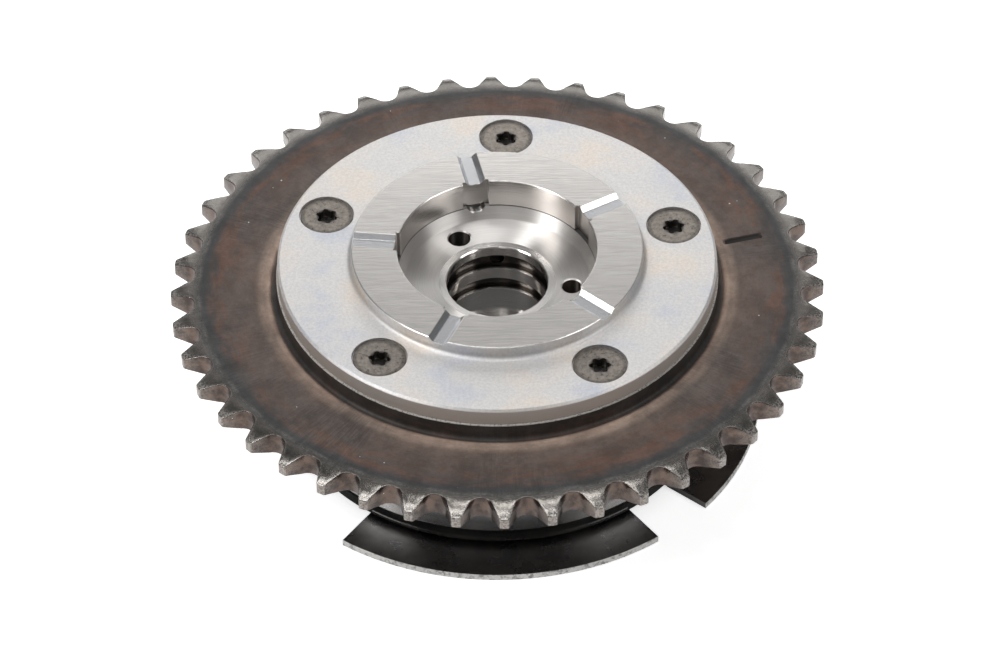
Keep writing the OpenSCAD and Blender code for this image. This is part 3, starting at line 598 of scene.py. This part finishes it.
def coverFinish(look):
    # satin rim, brushed boss, turned bore and wall, smooth grooves, a dark line low in the bore at the seam,
    # painted as shade of the gap together with dirt
    finish = Finish("satinAluminium")
    tree = finish.tree
    ring = finish.place(ringGroup)
    radius, height = ring.outputs["Radius"], ring.outputs["Height"]
    onBoss = mathNode(tree, "GREATER_THAN", height, look["bossHeight"])
    inBore = mathNode(tree, "LESS_THAN", radius, look["boreRadius"])
    onWall = mathNode(tree, "GREATER_THAN", radius, look["wallRadius"])
    inBoss = mathNode(tree, "LESS_THAN", radius, look["bossRadius"])
    high = mathNode(tree, "GREATER_THAN", height, look["grooveHeight"])
    inGroove = mathNode(tree, "MULTIPLY", inBoss, high)
    low = mathNode(tree, "LESS_THAN", height, look["seamHeight"])
    inSeamShadeAndDirt = mathNode(tree, "MULTIPLY", inBore, low)
    tint = rampNode(tree, noiseNode(tree, finish.position, scale=70.0, rough=0.55), look["clouds"])
    streaks = finish.place(grainGroup, Stretch=(0.04, 1.0, 1.0), Fineness=3500.0)
    turnedLines = finish.place(grainGroup, ring.outputs["Around"], Stretch=(0.5, 0.5, 1.0), Fineness=3.0)
    satin = finish.place(grainGroup, Fineness=1700.0)
    speckle = rampNode(tree, satin.outputs["Grain"], look["speckle"])
    rim = shadeColour(tree, shadeColour(tree, tint, look["rim"]), speckle)
    boss = shadeColour(tree, rampNode(tree, streaks.outputs["Grain"], look["brushing"]), look["boss"])
    colour = mixColour(tree, inGroove, rim, look["groove"])
    colour = mixColour(tree, onBoss, colour, boss)
    colour = mixColour(tree, mathNode(tree, "SUBTRACT", inBore, onBoss, clamp=True), colour, look["bore"])
    # painted shade with dirt: a dark line low in the bore, at the seam with the rotor
    colour = mixColour(tree, inSeamShadeAndDirt, colour, look["seam"])
    finish.feed("Base Color", mixColour(tree, onWall, colour, look["wall"]))
    cut = mathNode(tree, "MAXIMUM", inGroove, inBore)
    finish.feed("Roughness", rampNode(tree, cut, [(0.0, look["roughness"]), (1.0, look["cutRoughness"])]))
    curved = mathNode(tree, "MAXIMUM", inBore, onWall)
    relief = mixValue(tree, curved, satin.outputs["Height"], turnedLines.outputs["Height"])
    brushed = mathNode(tree, "MULTIPLY", streaks.outputs["Height"], look["brushDepth"])
    finish.bump(mixValue(tree, onBoss, relief, brushed), distance=0.025 * mm, edge=0.25 * mm)
    return finish.material


machinedLook = dict(
    colour=(0.6, 0.6, 0.605), seam=(0.1, 0.095, 0.09), roughness=0.26,
    lines=[(0.32, 0.84), (0.68, 1.14)], clouds=[(0.3, 0.86), (0.7, 1.08)],
    seamHeight=15.0, seamHalf=0.12,  # mm: the joint of stator and front plate
)


def machinedFinish(look):
    # turned aluminium: feed lines up the wall, cloudy shade, a dark joint between the two pieces
    finish = Finish("machinedAluminium", roughness=look["roughness"])
    tree = finish.tree
    ring = finish.place(ringGroup)
    lines = finish.place(grainGroup, ring.outputs["Around"], Stretch=(0.3, 0.3, 1.0), Fineness=2.2)
    shade = rampNode(tree, lines.outputs["Grain"], look["lines"])
    cloud = rampNode(tree, noiseNode(tree, finish.position, scale=60.0), look["clouds"])
    wall = shadeColour(tree, shadeColour(tree, shade, look["colour"]), cloud)
    above = mathNode(tree, "SUBTRACT", ring.outputs["Height"], look["seamHeight"])
    joint = mathNode(tree, "LESS_THAN", mathNode(tree, "ABSOLUTE", above), look["seamHalf"])
    finish.feed("Base Color", mixColour(tree, joint, wall, look["seam"]))
    finish.bump(lines.outputs["Height"], distance=0.004 * mm, edge=0.2 * mm)
    return finish.material


rotorLook = dict(
    # the dark colour below is painted shade for the bore's grooves and holes, and partly for the scallop
    colour=(0.86, 0.835, 0.81), hole=(0.085, 0.075, 0.068), lines=[(0.3, 0.94), (0.7, 1.05)],
    scallopShadeShare=0.6, roughness=0.45, boreRoughness=0.18, anisotropic=1.0,
    # heights and radii in mm that part the regions
    boreRadius=12.4, grooveRadius=11.2, floorHeight=32.3, noseHeight=16.0,
    scallopHeight=34.0, scallopRadius=20.95,
)


def turnedFinish(look):
    # lathe-turned steel: fine rings in shade and relief, highlights spread along the radius,
    # drilled and grooved places and the scallop painted dark as shade
    finish = Finish("turnedSteel")
    tree = finish.tree
    ring = finish.place(ringGroup)
    radius, height = ring.outputs["Radius"], ring.outputs["Height"]
    lines = finish.place(grainGroup, ring.outputs["Around"], Stretch=(0.4, 0.4, 1.0), Fineness=4.0)
    bright = shadeColour(tree, rampNode(tree, lines.outputs["Grain"], look["lines"]), look["colour"])
    underFloor = mathNode(tree, "LESS_THAN", height, look["floorHeight"])
    sunk = mathNode(tree, "MULTIPLY", underFloor, mathNode(tree, "GREATER_THAN", height, look["noseHeight"]))
    shadedRecess = mathNode(tree, "MULTIPLY", sunk, mathNode(tree, "GREATER_THAN", radius, look["grooveRadius"]))
    high = mathNode(tree, "GREATER_THAN", height, look["scallopHeight"])
    outer = mathNode(tree, "GREATER_THAN", radius, look["scallopRadius"])
    inScallop = mathNode(tree, "MULTIPLY", high, outer)
    shadedRecess = mathNode(tree, "MAXIMUM", shadedRecess, mathNode(tree, "MULTIPLY", inScallop, look["scallopShadeShare"]))
    # painted shade: grooves and holes in the valve bore, and the scallop in part, take a dark colour
    finish.feed("Base Color", mixColour(tree, shadedRecess, bright, look["hole"]))
    inBore = mathNode(tree, "LESS_THAN", radius, look["boreRadius"])
    smoother = [(0.0, look["roughness"]), (1.0, look["boreRoughness"])]
    finish.feed("Roughness", rampNode(tree, inBore, smoother))
    finish.bump(lines.outputs["Height"], distance=0.002 * mm, edge=0.1 * mm)
    finish.turned(look["anisotropic"])
    return finish.material


sheetLook = dict(
    black=[(0.3, (0.12, 0.117, 0.115)), (0.7, (0.18, 0.172, 0.165))], bare=(0.75, 0.74, 0.72),
    roughness=[(0.3, 0.24), (0.7, 0.34)], chipping=[(0.34, 0.3), (0.55, 1.0)],
    bend=[(0.455, 0.15), (0.472, 1.0)], bendSpan=100.0,  # shade by radius, at shares of the span in mm
    cutRadius=56.35,  # mm
)


def sheetFinish(look):
    # black coated sheet with painted shade inside its bend, bare where the outer edge was cut
    finish = Finish("blackCoatedSheet")
    tree = finish.tree
    radius = finish.place(ringGroup).outputs["Radius"]
    cloud = noiseNode(tree, finish.position, scale=120.0)
    # painted shade: the sheet is darkened inside its bend, where it lies under the sprocket
    bend = rampNode(tree, mathNode(tree, "DIVIDE", radius, look["bendSpan"]), look["bend"])
    black = shadeColour(tree, rampNode(tree, cloud, look["black"]), bend)
    chips = noiseNode(tree, finish.position, scale=900.0, detail=3.0, rough=0.7)
    cutEdge = mathNode(tree, "GREATER_THAN", radius, look["cutRadius"])
    bare = mathNode(tree, "MULTIPLY", cutEdge, rampNode(tree, chips, look["chipping"]))
    finish.feed("Base Color", mixColour(tree, bare, black, look["bare"]))
    finish.feed("Roughness", rampNode(tree, cloud, look["roughness"]))
    finish.bump(chips, distance=0.01 * mm, edge=0.2 * mm)
    return finish.material


screwLook = dict(
    circle=38.8, phaseDeg=15.0, count=5,  # mm from the part's axis, angle of the first screw, how many
    headRadius=6.0,  # mm, the span of the shades below
    # the drive recess colour and the darker rim colour are painted shade
    drive=(0.06, 0.056, 0.052), face=(0.245, 0.22, 0.195), edge=(0.16, 0.143, 0.126),
    crystals=[(0.3, 0.72), (0.7, 1.35)], roughness=[(0.3, 0.26), (0.7, 0.44)], metallic=0.85,
)


def screwFinish(look):
    # phosphated steel: the turn round the part is folded into one screw's share,
    # which gives the distance from that screw's axis
    finish = Finish("phosphatedScrew", metallic=look["metallic"])
    tree = finish.tree
    split = tree.nodes.new("ShaderNodeSeparateXYZ")
    tree.links.new(finish.position, split.inputs[0])
    radius = finish.place(ringGroup).outputs["Radius"]
    step = 2 * math.pi / look["count"]
    whole = mathNode(tree, "ARCTAN2", split.outputs[1], split.outputs[0])
    turn = mathNode(tree, "SUBTRACT", whole, math.radians(look["phaseDeg"]))
    nearest = mathNode(tree, "MULTIPLY", mathNode(tree, "ROUND", mathNode(tree, "DIVIDE", turn, step)), step)
    folded = mathNode(tree, "SUBTRACT", turn, nearest)
    across = mathNode(tree, "MULTIPLY", radius, mathNode(tree, "SINE", folded))
    outwards = mathNode(tree, "MULTIPLY", radius, mathNode(tree, "COSINE", folded))
    along = mathNode(tree, "SUBTRACT", outwards, look["circle"])
    acrossSquare, alongSquare = (mathNode(tree, "MULTIPLY", side, side) for side in (across, along))
    distance = mathNode(tree, "SQRT", mathNode(tree, "ADD", acrossSquare, alongSquare))
    # painted shade: the drive recess dark and the head's rim darker, by the distance from the screw's axis
    shades = [(0.3, look["drive"]), (0.42, look["face"]), (0.74, look["face"]), (0.84, look["edge"])]
    rings = rampNode(tree, mathNode(tree, "DIVIDE", distance, look["headRadius"]), shades)
    mottle = noiseNode(tree, finish.position, scale=1300.0, detail=5.0, rough=0.7)
    finish.feed("Base Color", shadeColour(tree, rings, rampNode(tree, mottle, look["crystals"])))
    finish.feed("Roughness", rampNode(tree, mottle, look["roughness"]))
    finish.bump(mottle, distance=0.03 * mm, edge=0.3 * mm)
    return finish.material


plainLook = dict(
    groundPinSteel=dict(colour=(0.55, 0.56, 0.57), roughness=0.3, metallic=1.0),
    springWire=dict(colour=(0.5, 0.51, 0.52), roughness=0.35, metallic=1.0),
    sealPolymer=dict(colour=(0.2, 0.19, 0.18), roughness=0.5, metallic=0.0),
)


def plainFinish(name, look):
    # one colour with cloudy shade and fine grain
    finish = Finish(name, look["metallic"], look["roughness"])
    tree = finish.tree
    shade = rampNode(tree, noiseNode(tree, finish.position, scale=260.0), [(0.3, 0.88), (0.7, 1.12)])
    finish.feed("Base Color", shadeColour(tree, shade, look["colour"]))
    grain = finish.place(grainGroup, Fineness=1800.0)
    finish.bump(grain.outputs["Height"], distance=0.02 * mm, edge=0.15 * mm)
    return finish.material


pinMaterial, springMaterial, sealMaterial = (plainFinish(name, look) for name, look in plainLook.items())
dress(coverFinish(coverLook), "cam_side_cover")
dress(machinedFinish(machinedLook), "stator", "front_plate")
dress(turnedFinish(rotorLook), "rotor")
dress(screwFinish(screwLook), "cover_screws")
dress(sheetFinish(sheetLook), "reluctor")
dress(pinMaterial, "sprocket_dowel", "plate_dowel", "spring_anchor_pin")
dress(pinMaterial, "lock_seat_bush", "lock_pin", "lock_pin_plug")
sealPairs = 5
for i in range(1, sealPairs + 1):
    dress(springMaterial, f"lobe_seal_spring_{i}", f"vane_seal_spring_{i}")
    dress(sealMaterial, f"lobe_seal_{i}", f"vane_seal_{i}")
print("finishes on the CAD nodes")


# Springs: the flat spiral winds between rotor and anchor pin, the lock pin's coil is a helix that rides with
# the rotor
springForm = dict(
    # mm and degrees
    strip=1.2, chamfer=0.15, turns=2.5, innerR=21.2, tabR=18.0, tabBend=0.9, eyeR=2.2, eyeDeg=280.0,
    easeDeg=24.0, wire=0.35, coilTurns=7, pinTravel=1.0,
    heldShare=0.87,  # of the anchor pin's radius
)


def makeReturnSpring(form):
    # a straight tab, a small bend, a spiral whose radius grows evenly with its angle,
    # and an eye round the anchor pin
    low, high = (np.array(c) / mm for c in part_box("return_spring"))
    pinLow, pinHigh = (np.array(c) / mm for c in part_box("spring_anchor_pin"))
    anchorR = -(pinLow[0] + pinHigh[0]) / 2
    whole = 360.0 * form["turns"]
    bend = form["tabBend"]
    angle = np.linspace(math.degrees(math.asin(bend / form["innerR"])), whole, 260)
    radius = form["innerR"] + (anchorR - form["innerR"]) * angle / whole
    radius = radius - form["eyeR"] * smoothstep(angle, whole - form["easeDeg"], whole)
    spiral = np.stack([radius * np.cos(np.radians(angle)), radius * np.sin(np.radians(angle))], 1)
    flat = np.concatenate([
        [[form["tabR"], 0.0], [form["innerR"] - 1.5 * bend, 0.0]],
        arc((form["innerR"] - bend, bend), bend, -90, 0, 8)[:-1],
        spiral,
        arc((-anchorR, 0.0), form["eyeR"], 0, -form["eyeDeg"], 40)[1:],
    ])
    path = np.column_stack([flat, np.full(len(flat), low[2])])
    half, c, w = form["strip"] / 2, form["chamfer"], high[2] - low[2]
    section = np.array([(half, w - c), (half, c), (half - c, 0), (c - half, 0),
                        (-half, c), (-half, w - c), (c - half, w), (half - c, w)])
    return sweepPiece("returnSpring", path, section), anchorR


def makeLockSpring(form):
    # a round wire along a helix: angle and height grow together
    low, high = (np.array(c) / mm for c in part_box("lock_pin_spring"))
    middle = (low + high) / 2
    wire = form["wire"]
    mean = (high[0] - low[0]) / 2 - wire
    t = np.linspace(0, 1, 24 * form["coilTurns"] + 1)
    angle = 2 * math.pi * form["coilTurns"] * t
    path = np.column_stack([middle[0] + mean * np.cos(angle), middle[1] + mean * np.sin(angle),
                            low[2] + wire + (high[2] - low[2] - 2 * wire) * t])
    a = np.radians(np.arange(0, 360, 36))
    section = wire * np.column_stack([np.cos(a), -np.sin(a)])
    return sweepPiece("lockPinSpring", path, section, sharpDeg=60.0), low, high


returnSpring, anchorR = makeReturnSpring(springForm)
returnSpring.data.materials.append(springMaterial)
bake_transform(returnSpring)
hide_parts("return_spring")
lockSpring, coilLow, coilHigh = makeLockSpring(springForm)
lockSpring.data.materials.append(springMaterial)
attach(lockSpring, "rotor")
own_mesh(lockSpring)
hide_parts("lock_pin_spring")
print("springs made:", len(returnSpring.data.polygons) + len(lockSpring.data.polygons), "faces")


# Studio: a pale floor with a painted shadow under the part, softboxes round it and above, soft surroundings
studio = dict(
    floorSize=3.0, floorGlow=0.72, floorRoughness=0.35, floorSpecular=0.25, world=0.15,
    # by the distance from the axis in metres: the floor's colour and its glow to the camera and in
    # reflections, darkened near the part as painted shadow
    floorColourAndShadow=[(0.014, 0.06), (0.05, 0.9)], seenGlowAndShadow=[(0.03, 0.0), (0.05, 1.0)],
    mirroredGlowAndShadow=[(0.045, 0.1), (0.085, 1.0)],
    softboxes=dict(
        backCard=dict(size=(0.4, 0.2), at=(0.0, 0.34, 0.205), aim=(0.0, 0, 0.205), radiance=1.6),
        backHigh=dict(size=(1.6, 0.5), at=(0.0, 0.8, 0.85), aim=(0, 0, 0.85), radiance=0.22),
        topStrip=dict(size=(0.15, 1.1), at=(-0.28, 0.0, 1.17), aim=(0, 0, 0), radiance=6.5),
        topBack=dict(size=(0.3, 0.26), at=(0.05, 0.4, 1.1), aim=(0, 0, 0), radiance=6.0),
        leftLight=dict(size=(0.4, 0.45), at=(-0.84, -0.4, 0.92), aim=(0, 0, 0), radiance=10.5),
        frontLight=dict(size=(0.26, 0.2), at=(-0.18, -0.8, 0.87), aim=(0, 0, 0), radiance=1.0),
        rightLight=dict(size=(0.7, 0.4), at=(0.92, -0.36, 0.9), aim=(0, 0, 0), radiance=4.5),
    ),
)


def makeSoftbox(name, look):
    data = bpy.data.lights.new(name, "AREA")
    data.shape = "RECTANGLE"
    data.size, data.size_y = look["size"]
    data.energy = look["radiance"] * math.pi * data.size * data.size_y
    lamp = bpy.data.objects.new(name, data)
    scene.collection.objects.link(lamp)
    lamp.location = look["at"]
    lamp.rotation_euler = (Vector(look["aim"]) - Vector(look["at"])).to_track_quat("-Z", "Y").to_euler()
    lamp.visible_camera = False


def floorFinish(look):
    finish = Finish("paleFloor", metallic=0.0, roughness=look["floorRoughness"],
                    Specular_IOR_Level=look["floorSpecular"], Emission_Strength=1.0)
    tree = finish.tree
    distance = mathNode(tree, "DIVIDE", finish.place(ringGroup).outputs["Radius"], 1 / mm)
    # painted shadow: the floor is dark under the part and its glow fades near it
    finish.feed("Base Color", rampNode(tree, distance, look["floorColourAndShadow"]))
    path = tree.nodes.new("ShaderNodeLightPath")
    glows = [mathNode(tree, "MULTIPLY", path.outputs[ray], rampNode(tree, distance, look[ramp]))
             for ray, ramp in (("Is Camera Ray", "seenGlowAndShadow"), ("Is Glossy Ray", "mirroredGlowAndShadow"))]
    glow = mathNode(tree, "MAXIMUM", *glows)
    finish.feed("Emission Color", mathNode(tree, "MULTIPLY", glow, look["floorGlow"]))
    return finish.material


def makeStudio(look):
    half = look["floorSize"] / 2
    corners = [(-half, -half, 0), (half, -half, 0), (half, half, 0), (-half, half, 0)]
    mesh = bpy.data.meshes.new("floor")
    mesh.from_pydata(corners, [], [(0, 1, 2, 3)])
    floor = bpy.data.objects.new("floor", mesh)
    scene.collection.objects.link(floor)
    mesh.materials.append(floorFinish(look))
    world = bpy.data.worlds.new("studioWorld")
    scene.world = world
    world.use_nodes = True
    tree = world.node_tree
    background = tree.nodes["Background"]
    path = tree.nodes.new("ShaderNodeLightPath")
    background.inputs["Color"].default_value = (1, 1, 1, 1)
    strength = mathNode(tree, "MAXIMUM", path.outputs["Is Camera Ray"], look["world"])
    tree.links.new(strength, background.inputs["Strength"])
    for name, box in look["softboxes"].items():
        makeSoftbox(name, box)


makeStudio(studio)
scene.view_settings.view_transform = "Standard"
print("studio lit")
